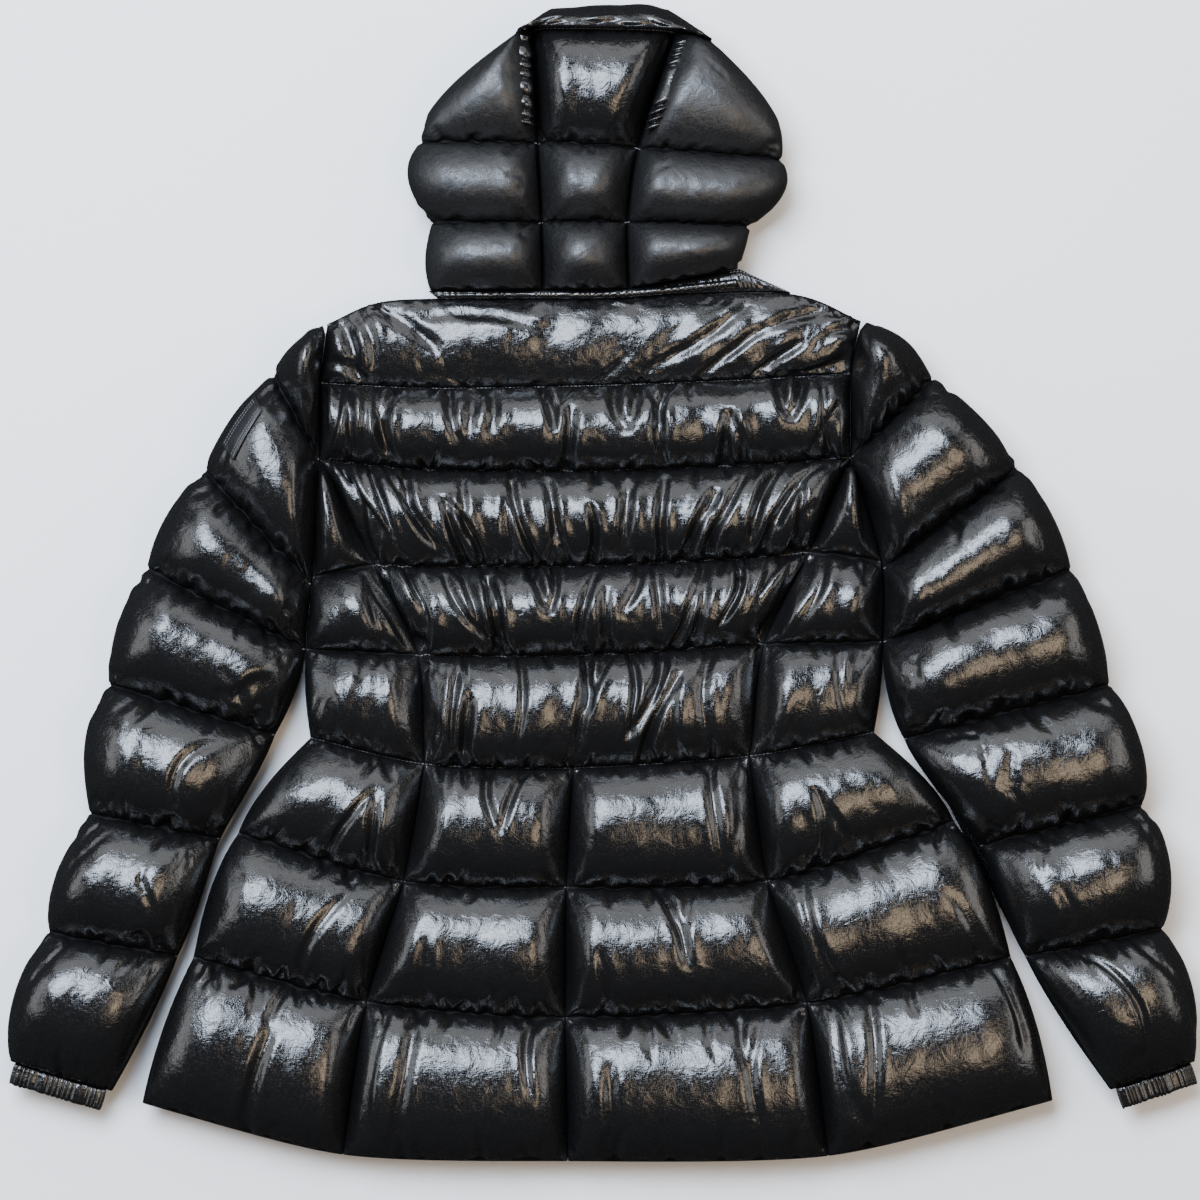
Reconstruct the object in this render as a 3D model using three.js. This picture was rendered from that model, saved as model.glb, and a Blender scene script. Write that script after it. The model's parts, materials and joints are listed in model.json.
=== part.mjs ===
import * as THREE from 'three';

// A hooded, hip-length puffer jacket laid out flat on its front, with its back uppermost.
// Millimetres. +Z is up, +Y runs from the hem to the hood, and -X is the wearer's left.

// Driving sizes of the padded walls
const seamGap = 0.3; // between pieces that are sewn or laid together
const middleHeight = 24; // where the upper and the lower layer lie on each other
const foldLip = 1.2; // a layer's thickness at a folded or outer edge
const seamThickness = 4; // a layer's thickness along a seam
const seamRise = 30; // how far from a seam the padding reaches its full loft
const foldRise = 42; // the same beside a folded edge
const shellColour = 0x0d0d0f;

// Lines across the body's back, from the neck to the bust: x, y where each crosses a panel's edge.
// side is the armhole or side seam, edge the centre panel's edge, which leaves the armhole at the
// chest, and quarter lies between that edge and the middle. L is the wearer's left.
const upperLines = [
  {
    line: 'neck', sideL: [-209, 198], edgeL: [-209, 198], quarterL: [-158, 216], mid: [-9, 217],
    quarterR: [140, 221], edgeR: [197, 200], sideR: [197, 200],
  },
  {
    line: 'yoke', sideL: [-214, 153], edgeL: [-214, 153], quarterL: [-131, 149], mid: [-9, 151],
    quarterR: [101, 155], edgeR: [189, 160], sideR: [189, 160],
  },
  {
    line: 'chest', sideL: [-214, 94], edgeL: [-214, 94], quarterL: [-128, 87], mid: [-9, 86],
    quarterR: [104, 90], edgeR: [189, 96], sideR: [189, 96],
  },
  {
    line: 'bust', sideL: [-220, 5], edgeL: [-173, 14], quarterL: [-95, 13], mid: [-9, 14],
    quarterR: [80, 18], edgeR: [157, 24], sideR: [212, 17],
  },
  {
    line: 'ribs', sideL: [-225, -50], edgeL: [-140, -54], quarterL: [-75, -55], mid: [-11, -54],
    quarterR: [60, -50], edgeR: [123, -46], sideR: [213, -44],
  },
];

// Lines across the flared skirt of the jacket, from the waist seam to the hem
const skirtLines = [
  { line: 'waist', sideL: [-222, -117], seamL: [-135, -137], mid: [-22, -140], seamR: [112, -131], sideR: [207, -113] },
  { line: 'hip', sideL: [-277, -190], seamL: [-151, -226], mid: [-27, -231], seamR: [126, -226], sideR: [268, -181] },
  { line: 'low', sideL: [-311, -284], seamL: [-179, -318], mid: [-28, -330], seamR: [156, -319], sideR: [311, -284] },
  { line: 'hem', sideL: [-350, -395], seamL: [-197, -434], mid: [-26, -439], seamR: [172, -435], sideR: [343, -393] },
];

// Quilting lines across each sleeve. armhole is the place down the armhole where a line starts, in
// body lines from the neck. bulge is how far the chamber below the line swells past its outer edge.
const sleeveLines = {
  L: [
    { outer: [-212, 197], armhole: 0.2, bulge: 5 },
    { outer: [-250, 161], armhole: 2, bulge: 5 },
    { outer: [-303, 88], armhole: 3.1, bulge: 5 },
    { outer: [-347, 13], armhole: 4, bulge: 6 },
    { outer: [-377, -75], inner: [-249, -115], bulge: 11 },
    { outer: [-391, -174], inner: [-291, -194], bulge: 11 },
    { outer: [-423, -264], inner: [-323, -283], bulge: 11 },
    { outer: [-451, -363], inner: [-373, -386], bulge: 0 },
  ],
  R: [
    { outer: [200, 199], armhole: 0.2, bulge: 7 },
    { outer: [252, 157], armhole: 2, bulge: 3 },
    { outer: [317, 90], armhole: 3.1, bulge: 5 },
    { outer: [358, 12], armhole: 4, bulge: 6 },
    { outer: [388, -76], inner: [230, -118], bulge: 9 },
    { outer: [414, -166], inner: [288, -199], bulge: 11 },
    { outer: [428, -261], inner: [322, -283], bulge: 11 },
    { outer: [452, -363], inner: [387, -385], bulge: 0 },
  ],
};

// Lines across the hood, from the neck to the crown, with the swell of the outline below the next
const hoodLines = [
  { line: 'base', edgeL: [-132, 223], seamL: [-45, 224], seamR: [20, 225], edgeR: [104, 240], bulgeL: 5, bulgeR: 2 },
  { line: 'nape', edgeL: [-131, 274], seamL: [-46, 275], seamR: [19, 275], edgeR: [114, 272], bulgeL: 9, bulgeR: 9 },
  { line: 'back', edgeL: [-140, 335], seamL: [-49, 335], seamR: [27, 331], edgeR: [138, 322], bulgeL: 13, bulgeR: 14 },
  { line: 'crown', edgeL: [-66, 417], seamL: [-52, 421], seamR: [55, 419], edgeR: [84, 412], bulgeL: 0, bulgeR: 0 },
];

const mix = (a, b, t) => a + (b - a) * t;
const mixPoint = (a, b, t) => a.map((value, k) => mix(value, b[k], t));
const between = (low, value, high) => Math.max(low, Math.min(high, value));
const distance = (a, b) => Math.hypot(a[0] - b[0], a[1] - b[1]);

// The smooth curve through evenly numbered points, at t counted in points. Its ends are relaxed.
function through(points, t) {
  const slack = 0.8;
  const last = points.length - 1;
  const i = between(0, Math.floor(t), last - 1);
  const f = t - i;
  return points[i].map((_, k) => {
    const [a, b] = [points[i][k], points[i + 1][k]];
    const before = i > 0 ? points[i - 1][k] : 2 * a - b;
    const after = i + 1 < last ? points[i + 2][k] : 2 * b - a;
    const [ta, tb] = [slack * (b - before) / 2, slack * (after - a) / 2];
    const [f2, f3] = [f * f, f * f * f];
    return a * (2 * f3 - 3 * f2 + 1) + ta * (f3 - 2 * f2 + f) + b * (3 * f2 - 2 * f3) + tb * (f3 - f2);
  });
}

// The same down the body, whose seams turn a corner at the chest, where the side backs begin
const chestLine = 2;
function downBody(points, v) {
  if (v <= chestLine) return through(points.slice(0, chestLine + 1), v);
  return through(points.slice(chestLine), v - chestLine);
}

// Samples from 0 to 1 that crowd towards both ends, where a padded wall curves most
const crowded = (count) => Array.from({ length: count + 1 }, (_, i) => (1 - Math.cos(Math.PI * i / count)) / 2);

// The same for several chambers in a row, each from one line to the next
function chambers(first, last, count) {
  const samples = [];
  for (let chamber = first; chamber < last; chamber++) {
    crowded(count).slice(0, count).forEach((t) => samples.push(chamber + t));
  }
  return [...samples, last];
}

// How full a chamber is from its first line, at 0, to its next, at 1
const fullness = (t) => Math.sin(Math.PI * (t - Math.floor(t))) ** 0.6;

// How far the padding has risen at a distance from a seam or from a folded edge, from 0 to 1
const risenFromSeam = (d, reach) => 1 - (1 - between(0, d / reach, 1)) ** 2.4;
const risenFromFold = (d, reach) => Math.sqrt(1 - (1 - between(0, d / reach, 1)) ** 2);

// Turns a mesh's faces outwards where its volume comes out negative
function facingOut(points, faces) {
  let volume = 0;
  const corner = [new THREE.Vector3(), new THREE.Vector3(), new THREE.Vector3()];
  for (let i = 0; i < faces.length; i += 3) {
    corner.forEach((c, k) => c.fromArray(points, 3 * faces[i + k]));
    volume += corner[0].dot(corner[1].clone().cross(corner[2]));
  }
  const index = volume < 0 ? [...faces].reverse() : faces;
  const geometry = new THREE.BufferGeometry();
  geometry.setAttribute('position', new THREE.Float32BufferAttribute(points, 3));
  geometry.setIndex(index);
  geometry.computeVertexNormals();
  return geometry;
}

// A wall between an outer and an inner skin, closed round its rim. across and along list the samples.
// A ring is a wall whose last column is its first again.
function wall(across, along, outerAt, innerAt, ring = false) {
  const [columns, rows] = [across.length, along.length];
  const points = [];
  for (const skin of [outerAt, innerAt]) {
    for (const v of along) {
      for (const u of across) points.push(...skin(u, v));
    }
  }
  const inside = columns * rows;
  const at = (i, j) => j * columns + (i % columns);
  const faces = [];
  const quad = (a, b, c, d) => faces.push(a, b, c, a, c, d);
  const steps = ring ? columns : columns - 1;
  for (let j = 0; j < rows - 1; j++) {
    for (let i = 0; i < steps; i++) {
      const [a, b, c, d] = [at(i, j), at(i + 1, j), at(i + 1, j + 1), at(i, j + 1)];
      quad(a, b, c, d);
      quad(a + inside, d + inside, c + inside, b + inside);
    }
  }
  for (let i = 0; i < steps; i++) {
    quad(at(i + 1, 0), at(i, 0), at(i, 0) + inside, at(i + 1, 0) + inside);
    const j = rows - 1;
    quad(at(i, j), at(i + 1, j), at(i + 1, j) + inside, at(i, j) + inside);
  }
  for (let j = 0; !ring && j < rows - 1; j++) {
    quad(at(0, j), at(0, j + 1), at(0, j + 1) + inside, at(0, j) + inside);
    const i = columns - 1;
    quad(at(i, j + 1), at(i, j), at(i, j) + inside, at(i, j + 1) + inside);
  }
  return facingOut(points, faces);
}

const jacket = new THREE.Group();
jacket.name = 'puffer_jacket';

function addPiece(name, geometry, { colour = shellColour, roughness = 0.22, metalness = 0 } = {}) {
  const material = new THREE.MeshStandardMaterial({ color: colour, roughness, metalness });
  const piece = new THREE.Mesh(geometry, material);
  piece.name = name;
  jacket.add(piece);
}

// A panel's plan: rows are curves u => [x, y] along its lines, and v counts lines. Each edge of the
// panel keeps its inset, half a seam's gap unless it says more, and an outer edge swells by bulge.
function panelPlan({ rows, first, last, inset = [0, 0], bulge = () => [0, 0], down = through }) {
  const raw = (u, v) => down(rows.map((row) => row(u)), v);
  return (u, v) => {
    const step = 0.01;
    const above = between(first, v, last - step);
    const along = seamGap / 2 * step / distance(raw(0.5, above), raw(0.5, above + step));
    const kept = between(first + along, v, last - along);
    const [a, b] = [raw(0, kept), raw(1, kept)];
    const width = distance(a, b);
    const start = (seamGap / 2 + inset[0]) * step / distance(a, raw(step, kept));
    const end = (seamGap / 2 + inset[1]) * step / distance(raw(1 - step, kept), b);
    const point = raw(mix(start, 1 - end, u), kept);
    const swell = Math.sin(Math.PI * (v - Math.floor(v)));
    const [swellStart, swellEnd] = bulge(v).map((size) => size * swell);
    const fade = 60;
    const push = swellEnd * (1 - risenFromSeam((1 - u) * width, fade)) - swellStart * (1 - risenFromSeam(u * width, fade));
    return [point[0] + push * (b[0] - a[0]) / width, point[1] + push * (b[1] - a[1]) / width];
  };
}

// A padded layer above or below the middle height. edges says whether the padding ends at a seam or
// a fold at u 0 and at u 1, as a share of fold, so an edge can change from one to the other.
function padding({ plan, loft, valley = seamThickness, edges = () => [0, 0], below = false }) {
  const height = (u, v) => {
    const width = distance(plan(0, v), plan(1, v));
    const factors = edges(v).map((fold, side) => {
      const d = (side ? 1 - u : u) * width;
      const seam = risenFromSeam(d, Math.min(seamRise, width / 2));
      return { rise: mix(seam, risenFromFold(d, Math.min(foldRise, width / 2)), fold), fold };
    });
    const rise = factors[0].rise * factors[1].rise;
    const edgeHeight = Math.min(...factors.map(({ rise: r, fold }) => mix(seamThickness, foldLip, fold * (1 - r))));
    return edgeHeight + rise * (valley - seamThickness + loft * fullness(v));
  };
  const start = middleHeight + (below ? -seamGap / 2 : seamGap / 2);
  const outer = (u, v) => {
    const z = below ? Math.max(0, start - height(u, v)) : start + height(u, v);
    return [...plan(u, v), z];
  };
  const inner = (u, v) => [...plan(u, v), start];
  return { outer, inner };
}

const across = { wide: crowded(14), middling: crowded(8), narrow: crowded(6) };
const chamberSteps = 5;

// Curves of the body's lines. The waist's is the skirt's own, so the pieces meet along it.
const skirtCurve = (row) => (c) => through([row.sideL, row.seamL, row.mid, row.seamR, row.sideR], c);
const skirtRows = skirtLines.map(skirtCurve);
const centreRows = [
  ...upperLines.map((row) => (u) => through([row.edgeL, row.quarterL, row.mid, row.quarterR, row.edgeR], 4 * u)),
  (u) => skirtRows[0](1 + 2 * u),
];

// Yoke and quilted centre back
const backPieces = [
  { name: 'back_yoke', first: 0, last: 1, loft: 20 },
  { name: 'back_centre', first: 1, last: 5, loft: 28 },
];
for (const { name, first, last, loft } of backPieces) {
  const { outer, inner } = padding({ plan: panelPlan({ rows: centreRows, first, last, down: downBody }), loft });
  addPiece(name, wall(across.wide, chambers(first, last, chamberSteps), outer, inner));
}

// Side backs, each from a point on the armhole down to the waist
const sideBackStart = 2.12;
const armpit = 4;
const isFold = (v, from) => between(0, (v - from) / 0.3 + 0.5, 1);
for (const side of ['L', 'R']) {
  const rows = [
    ...upperLines.map((row) => (u) => mixPoint(row[`side${side}`], row[`edge${side}`], u)),
    (u) => skirtRows[0](side === 'L' ? u : 4 - u),
  ];
  const plan = panelPlan({
    rows, first: sideBackStart, last: 5, bulge: (v) => [v > armpit ? 2 : 0, 0], down: downBody,
  });
  const { outer, inner } = padding({ plan, loft: 25, edges: (v) => [isFold(v, armpit), 0] });
  const lines = [sideBackStart, ...chambers(2, 5, chamberSteps).filter((v) => v > sideBackStart + 0.05)];
  addPiece(`back_side_${side}`, wall(across.narrow, lines, outer, inner));
}

// Skirt of four gores, from the left side seam to the right one
const gores = ['skirt_side_L', 'skirt_mid_L', 'skirt_mid_R', 'skirt_side_R'];
gores.forEach((name, k) => {
  const rows = skirtRows.map((curve) => (u) => curve(k + u));
  const bulge = () => [k === 0 ? 4 : 0, k === 3 ? 4 : 0];
  const plan = panelPlan({ rows, first: 0, last: 3, bulge });
  const edges = () => [k === 0 ? 1 : 0, k === 3 ? 1 : 0];
  const { outer, inner } = padding({ plan, loft: 32, edges });
  addPiece(name, wall(across.middling, chambers(0, 3, chamberSteps), outer, inner));
});

// Fronts, which lie underneath from the shoulder to the hem, flat where they rest
const zipHalfWidth = 5;
for (const side of ['L', 'R']) {
  const upper = upperLines.map((row) => {
    const points = [row[`side${side}`], row[`edge${side}`], row[`quarter${side}`], row.mid];
    const kept = points.filter((point, k) => k === 0 || distance(point, points[k - 1]) > 0);
    return (u) => through(kept, u * (kept.length - 1));
  });
  const lower = skirtRows.map((curve) => (u) => curve(side === 'L' ? 2 * u : 4 - 2 * u));
  const bulge = (v) => [v > 5 ? 4 : v > armpit ? 2 : 0, 0];
  const plan = panelPlan({
    rows: [...upper, ...lower], first: 0, last: 8, inset: [0, zipHalfWidth], bulge, down: downBody,
  });
  const edges = (v) => [isFold(v, armpit), 0];
  const { outer, inner } = padding({ plan, loft: 30, edges, below: true });
  addPiece(`front_${side}`, wall(across.middling, chambers(0, 8, chamberSteps), outer, inner));
}

// Zip that closes the fronts, its tape sunk between them, and its slider at the neck
const zipLine = [...upperLines.map((row) => row.mid), ...skirtLines.map((row) => row.mid)];
const tapeThickness = 2.5;
const tapeEnd = 4;
{
  const plan = (u, v) => {
    const [x, y] = downBody(zipLine, between(0.03, v, 7.98));
    return [x + mix(-1, 1, u) * (zipHalfWidth - seamGap / 2), y];
  };
  const top = middleHeight - seamGap / 2;
  const lines = Array.from({ length: 17 }, (_, i) => i / 2);
  const outer = (u, v) => [...plan(u, v), top - tapeThickness];
  const inner = (u, v) => [...plan(u, v), top];
  addPiece('zip_tape', wall([0, 1], lines, outer, inner), { colour: 0x101012, roughness: 0.6 });

  const slider = new THREE.Shape();
  slider.moveTo(-2.2, -6);
  slider.lineTo(2.2, -6);
  slider.lineTo(4, 3);
  slider.quadraticCurveTo(3.6, 6, 0, 6);
  slider.quadraticCurveTo(-3.6, 6, -4, 3);
  slider.closePath();
  const sliderThickness = 3.2;
  const body = new THREE.ExtrudeGeometry(slider, { depth: sliderThickness, bevelEnabled: false, curveSegments: 5 });
  const [x, y] = zipLine[0];
  body.translate(x, y - tapeEnd - 6, top - tapeThickness - seamGap - sliderThickness);
  addPiece('zip_slider', body, { colour: 0x202022, roughness: 0.3, metalness: 0.8 });
}

// Sleeves, each in a back half on top and a front half underneath. Down to the armpit they start at
// the armhole, whose curve is the body's side line.
const sleeveEnd = 7;
const sleeveClear = 0.6; // more than a seam's gap, since the two curves are sampled apart
const lowestSleeveLine = 3;
const armholeCurve = (side) => (v) => downBody([...upperLines, skirtLines[0]].map((row) => row[`side${side}`]), v);
function sleevePlan(side) {
  const lines = sleeveLines[side];
  const outerPoints = lines.map((line) => line.outer);
  const armhole = armholeCurve(side);
  const innerPoints = lines.map((line) => line.inner ?? armhole(line.armhole));
  const outward = side === 'L' ? -1 : 1;
  const inner = (v) => {
    if (v >= lowestSleeveLine) return through(innerPoints, v);
    const line = Math.floor(v);
    const [x, y] = armhole(mix(lines[line].armhole, lines[line + 1].armhole, v - line));
    return [x, y];
  };
  const outer = (v) => through(outerPoints, v);
  const innerSwell = 2;
  return (u, v) => {
    const kept = between(0.004, v, sleeveEnd - 0.003);
    const [a, b] = [outer(kept), inner(kept)];
    const width = distance(a, b);
    const chamber = Math.min(Math.floor(v), sleeveEnd - 1);
    const swell = Math.sin(Math.PI * (v - chamber));
    const start = -lines[chamber].bulge * swell;
    const gapToBody = between(0, (lowestSleeveLine + 0.4 - v) / 0.4, 1) * sleeveClear;
    const end = v > lowestSleeveLine ? innerSwell * swell - gapToBody : -seamGap;
    const place = mix(start, width + end, u) / width;
    const point = mixPoint(a, b, place);
    return [point[0] + outward * gapToBody, point[1]];
  };
}
const cuffValley = 5;
const patchAcross = [0.06, 0.12, 0.2];
const patchAlong = [1.28, 1.5, 1.72];
const sleeveAcross = [0, ...patchAcross, 0.33, 0.5, 0.67, 0.82, 0.94, 1];
const besidePatch = (v) => v < 1.2 || v > 1.8;
const sleeveAlong = chambers(0, sleeveEnd, chamberSteps).filter(besidePatch).concat(patchAlong).sort((a, b) => a - b);
function sleeveLayer(side, below) {
  const settings = {
    plan: sleevePlan(side), loft: below ? 30 : 36, below, edges: (v) => [1, isFold(v, lowestSleeveLine)],
  };
  const full = padding({ ...settings, valley: below ? 8 : 12 });
  const slim = padding({ ...settings, valley: cuffValley });
  const toCuff = (v) => between(0, v - sleeveEnd + 1, 1) ** 2;
  const outer = (u, v) => mixPoint(full.outer(u, v), slim.outer(u, v), toCuff(v));
  return { outer, inner: full.inner };
}
for (const side of ['L', 'R']) {
  for (const below of [false, true]) {
    const { outer, inner } = sleeveLayer(side, below);
    const name = `sleeve_${below ? 'front' : 'back'}_${side}`;
    addPiece(name, wall(sleeveAcross, sleeveAlong, outer, inner));
  }
}

// Cuffs, gathered on elastic, each a flattened ring past the end of its sleeve
const cuffLength = 17;
const cuffGathers = 22;
const gatherDepth = 1.6;
for (const side of ['L', 'R']) {
  const plan = sleevePlan(side);
  const [a, b] = [plan(0, sleeveEnd), plan(1, sleeveEnd)];
  const width = distance(a, b);
  const run = [(b[0] - a[0]) / width, (b[1] - a[1]) / width];
  const onward = side === 'L' ? [run[1], -run[0]] : [-run[1], run[0]];
  const narrower = 4;
  const ringPoint = (turn, v, thickness, reach) => {
    const angle = 2 * Math.PI * turn;
    const share = mix(narrower, width - narrower, 0.5 - Math.cos(angle) * reach / 2);
    const offset = seamGap + v * cuffLength;
    const z = middleHeight + thickness * Math.sign(Math.sin(angle)) * Math.abs(Math.sin(angle)) ** 0.5;
    return [a[0] + run[0] * share + onward[0] * offset, a[1] + run[1] * share + onward[1] * offset, z];
  };
  const wave = (turn) => gatherDepth * (1 - Math.cos(2 * Math.PI * cuffGathers * turn)) / 2;
  const turns = Array.from({ length: 2 * cuffGathers }, (_, i) => i / (2 * cuffGathers));
  const outer = (turn, v) => ringPoint(turn, v, cuffValley - gatherDepth + wave(turn) * (1 - 0.3 * v), 1);
  const inner = (turn, v) => ringPoint(turn, v, seamGap / 2, 0.93);
  addPiece(`cuff_${side}`, wall(turns, [0, 0.5, 1], outer, inner, true));
}

// Plain patch on the left sleeve, made from the sleeve's own points, moved out
const patchThickness = 1.6;
{
  const { outer: sleeve } = sleeveLayer('L', false);
  const lifted = (rise) => (u, v) => {
    const [x, y, z] = sleeve(u, v);
    return [x, y, z + rise];
  };
  addPiece('sleeve_patch', wall(patchAcross, patchAlong, lifted(seamGap + patchThickness), lifted(seamGap)));
}

// Hood of a centre panel and two sides. The sides fold under to the face opening, which lies
// closed beneath, and a band runs along the opening and folds over the crown.
const hoodCurve = (row) => (c) => through([row.edgeL, row.seamL, row.seamR, row.edgeR], c);
const hoodRows = hoodLines.map(hoodCurve);
const hoodTop = hoodLines.length - 1;
const hoodValley = 15;
const hoodLoft = 30;
const hoodBulge = (side) => (v) => hoodLines[Math.min(Math.floor(v), hoodTop - 1)][`bulge${side}`];
{
  const plan = panelPlan({ rows: hoodRows.map((curve) => (u) => curve(1 + u)), first: 0, last: hoodTop });
  const { outer, inner } = padding({ plan, loft: hoodLoft, valley: hoodValley });
  addPiece('hood_centre', wall(across.narrow, chambers(0, hoodTop, chamberSteps), outer, inner));
}
const faceOpening = 1.5; // where the closed face opening lies, on the way across the hood
const foldWall = 5; // the side's thickness round its fold, across
for (const side of ['L', 'R']) {
  const top = panelPlan({
    rows: hoodRows.map((curve) => (u) => curve(side === 'L' ? u : 3 - u)),
    first: 0, last: hoodTop, bulge: (v) => [hoodBulge(side)(v), 0],
  });
  const under = panelPlan({
    rows: hoodRows.map((curve) => (u) => curve(side === 'L' ? faceOpening * u : 3 - (3 - faceOpening) * u)),
    first: 0, last: hoodTop, inset: [0, 1], bulge: (v) => [hoodBulge(side)(v), 0],
  });
  const upper = padding({ plan: top, loft: hoodLoft, valley: hoodValley, edges: () => [1, 0] });
  const lower = padding({ plan: under, loft: 30, valley: 8, edges: () => [1, 0], below: true });
  const skin = (part) => (s, v) => (s < 1 ? upper[part](1 - s, v) : lower[part](s - 1, v));
  const inner = (s, v) => {
    const clearOfFold = (plan) => Math.min(0.4, foldWall / distance(plan(0, v), plan(1, v)));
    if (s < 1) return upper.inner(Math.max(1 - s, clearOfFold(top)), v);
    return lower.inner(Math.max(s - 1, clearOfFold(under)), v);
  };
  const round = [...crowded(7), ...crowded(7).map((t) => 1 + t)];
  const samples = round.filter((s, k) => k !== 7);
  addPiece(`hood_side_${side}`, wall(samples, chambers(0, hoodTop, 4), skin('outer'), inner));
}

// Band over the crown: its hidden layers share one rounded solid
{
  const bandEnds = [[-38, 438], [-12, 441], [22, 442], [48, 438]];
  const clear = 0.6; // more than a seam's gap, since the two curves are sampled apart
  const crown = (u) => {
    const [x, y] = hoodRows[hoodTop](3 * u);
    return [x, y + clear];
  };
  const rows = [crown, (u) => through(bandEnds, 3 * u)];
  const plan = panelPlan({ rows, first: 0, last: 1 });
  const roll = (v) => Math.sqrt(Math.max(0, 1 - v ** 2));
  const bandHeight = (u) => 8 + 26 * Math.sin(Math.PI * mix(0.06, 0.94, u)) ** 0.5;
  const outer = (u, v) => [...plan(u, v), middleHeight + foldLip + bandHeight(u) * Math.max(roll(v), 0.2)];
  const inner = (u, v) => [...plan(u, v), Math.max(0, middleHeight - foldLip - bandHeight(u) * Math.max(roll(v), 0.2))];
  addPiece('hood_band', wall(across.middling, crowded(5), outer, inner));
}

// Collar under the hood, seen where it runs out towards the right shoulder
{
  const lowCurve = (t) => centreRows[0](mix(0.32, 0.76, t));
  const baseEnd = hoodLines[0].edgeR;
  const hoodEnd = 0.83;
  const tail = [143, 222];
  const highCurve = (t) => {
    if (t <= hoodEnd) return hoodRows[0](3 * t / hoodEnd);
    return mixPoint(baseEnd, tail, (t - hoodEnd) / (1 - hoodEnd));
  };
  const plan = (u, t) => {
    const [low, high] = [lowCurve(t), highCurve(t)];
    const clear = seamGap / distance(low, high);
    return mixPoint(low, high, mix(clear, 1 - clear, u));
  };
  const collarHeight = 8;
  const outer = (u, t) => [...plan(u, t), middleHeight + collarHeight * mix(0.6, 1, Math.sin(Math.PI * u))];
  const inner = (u, t) => [...plan(u, t), middleHeight - collarHeight];
  const stations = Array.from({ length: 17 }, (_, i) => i / 16);
  addPiece('collar', wall([0, 0.33, 0.67, 1], stations, outer, inner));
}

// The origin is the middle of the jacket's box, on the surface that it lies on
const box = new THREE.Box3().setFromObject(jacket);
const centre = box.getCenter(new THREE.Vector3());
jacket.position.set(-centre.x, -centre.y, -box.min.z);

export default jacket;
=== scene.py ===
import json

import bmesh
import bpy
import numpy as np
from mathutils import Matrix, Vector, noise

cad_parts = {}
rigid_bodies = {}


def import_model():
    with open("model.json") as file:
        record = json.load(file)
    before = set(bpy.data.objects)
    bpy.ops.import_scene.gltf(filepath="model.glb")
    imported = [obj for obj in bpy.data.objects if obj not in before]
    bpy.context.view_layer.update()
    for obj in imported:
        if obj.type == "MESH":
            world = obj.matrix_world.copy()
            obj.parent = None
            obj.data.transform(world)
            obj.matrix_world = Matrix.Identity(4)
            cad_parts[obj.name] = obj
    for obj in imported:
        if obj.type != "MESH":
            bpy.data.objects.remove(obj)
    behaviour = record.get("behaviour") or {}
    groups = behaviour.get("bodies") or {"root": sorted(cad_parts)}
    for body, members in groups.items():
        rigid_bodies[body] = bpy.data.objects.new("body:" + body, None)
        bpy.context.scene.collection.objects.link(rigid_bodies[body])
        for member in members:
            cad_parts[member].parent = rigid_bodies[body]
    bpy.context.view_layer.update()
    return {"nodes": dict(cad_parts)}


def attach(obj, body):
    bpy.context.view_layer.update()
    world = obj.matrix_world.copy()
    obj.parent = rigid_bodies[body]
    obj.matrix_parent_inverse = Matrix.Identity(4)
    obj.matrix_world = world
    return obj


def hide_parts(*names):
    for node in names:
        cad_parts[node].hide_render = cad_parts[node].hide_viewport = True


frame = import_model()

# The studio: a pale floor under the jacket, a camera straight above it, and large soft lights. A
# cool window stands beyond the left shoulder and a warm lamp at the right. Dim walls of light at the
# top and both sides give the nylon its grey sheen.
photo_width = 0.912
photo_centre = (-0.0024, -0.0134)
camera_height = 4.0
jacket_top = 0.03
camera_data = bpy.data.cameras.new("camera")
camera_data.sensor_width = 36
camera_data.lens = camera_data.sensor_width * (camera_height - jacket_top) / photo_width
camera = bpy.data.objects.new("camera", camera_data)
camera.location = (*photo_centre, camera_height)
bpy.context.scene.collection.objects.link(camera)
bpy.context.scene.camera = camera

floor_half_width = 12
floor_bm = bmesh.new()
bmesh.ops.create_grid(floor_bm, x_segments=1, y_segments=1, size=floor_half_width)
floor_mesh = bpy.data.meshes.new("floor")
floor_bm.to_mesh(floor_mesh)
floor_bm.free()
floor = bpy.data.objects.new("floor", floor_mesh)
floor.visible_glossy = False
bpy.context.scene.collection.objects.link(floor)


def new_material(name, colour, roughness=0.5):
    """A material of one colour and roughness, with its node tree and its shader."""
    material = bpy.data.materials.new(name)
    material.use_nodes = True
    shader = material.node_tree.nodes["Principled BSDF"]
    shader.inputs["Base Color"].default_value = (*colour, 1)
    shader.inputs["Roughness"].default_value = roughness
    return material, material.node_tree, shader


floor_paint, _, _ = new_material("floor_paint", (0.93, 0.93, 0.93), roughness=0.9)
floor_mesh.materials.append(floor_paint)

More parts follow.
